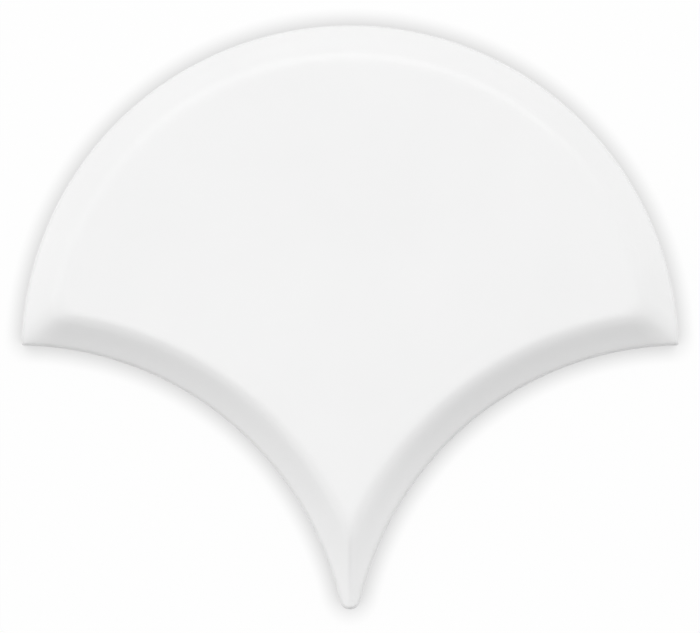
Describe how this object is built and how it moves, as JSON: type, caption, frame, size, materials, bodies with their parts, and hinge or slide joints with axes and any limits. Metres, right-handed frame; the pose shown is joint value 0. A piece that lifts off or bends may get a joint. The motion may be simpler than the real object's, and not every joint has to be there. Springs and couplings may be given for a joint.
{
  "type": "fish scale tile",
  "caption": "Glazed ceramic wall tile in a fish scale outline: round head, hollow lower sides drawn to a blunt tip, soft bevel all round the face, flat back for bedding.",
  "frame": {"origin": "on the back, at the middle of the bottom of the bounding box", "axes": "+X along the tile's width, +Y towards the round head (the tip points to -Y), +Z out of the glazed face; the tile lies on its back"},
  "size_m": [0.12, 0.1064, 0.009],
  "materials": {
    "glaze": "glossy white glaze over a pale ceramic body"
  },
  "bodies": {
    "root": {"tile": "glaze"}
  },
  "joints": []
}
